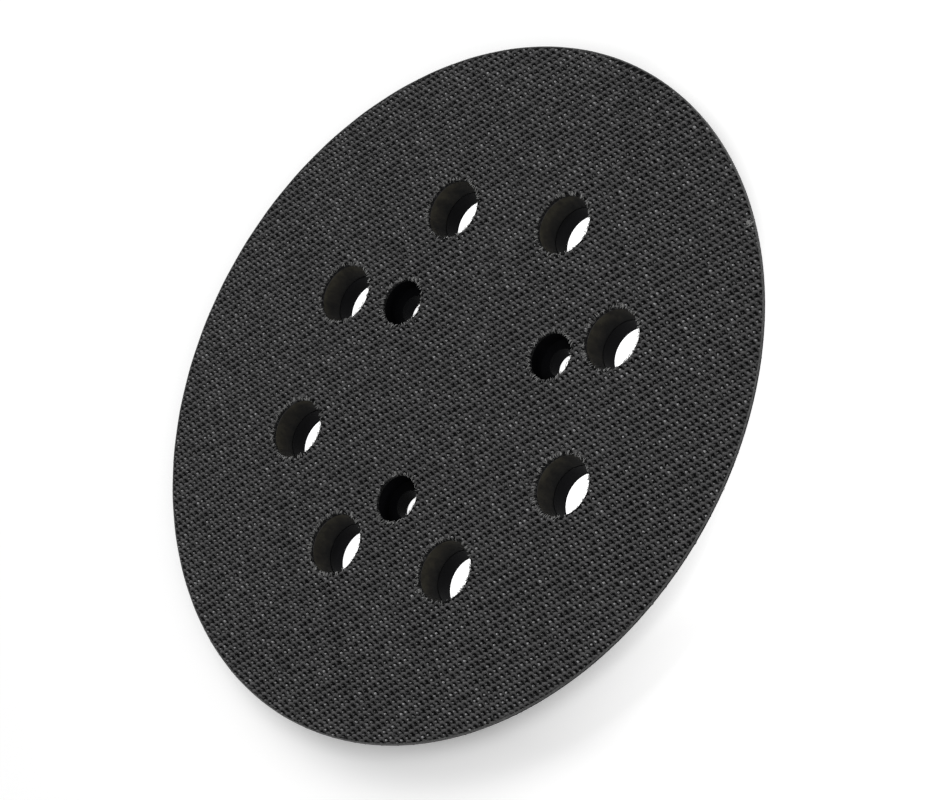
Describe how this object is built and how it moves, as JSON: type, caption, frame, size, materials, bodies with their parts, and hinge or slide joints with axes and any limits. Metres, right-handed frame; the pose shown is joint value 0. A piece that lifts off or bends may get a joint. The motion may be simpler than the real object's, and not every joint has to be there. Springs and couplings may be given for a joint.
{
  "type": "sander backing pad",
  "caption": "Round hook-and-loop backing pad for a random orbit sander: tapered foam on a ribbed plate, with a ring of dust holes and a ring of screw wells.",
  "frame": {"origin": "centre of the mounting side, on the plane of the plate's rims (z = 0)", "axes": "+Z along the spindle axis, out of the hook face; +X through the dust hole and the screw well that share one radius"},
  "size_m": [0.123, 0.123, 0.0084],
  "materials": {
    "hook_fabric": "black woven nylon hook cloth",
    "adhesive_film": "dark hot-melt film",
    "foam_body": "dark grey microcellular polyurethane foam with a moulded skin",
    "backing_plate": "black glass-filled nylon, moulded"
  },
  "bodies": {
    "root": {"hook_fabric": "hook_fabric", "adhesive_film": "adhesive_film", "foam_body": "foam_body", "backing_plate": "backing_plate"}
  },
  "joints": []
}
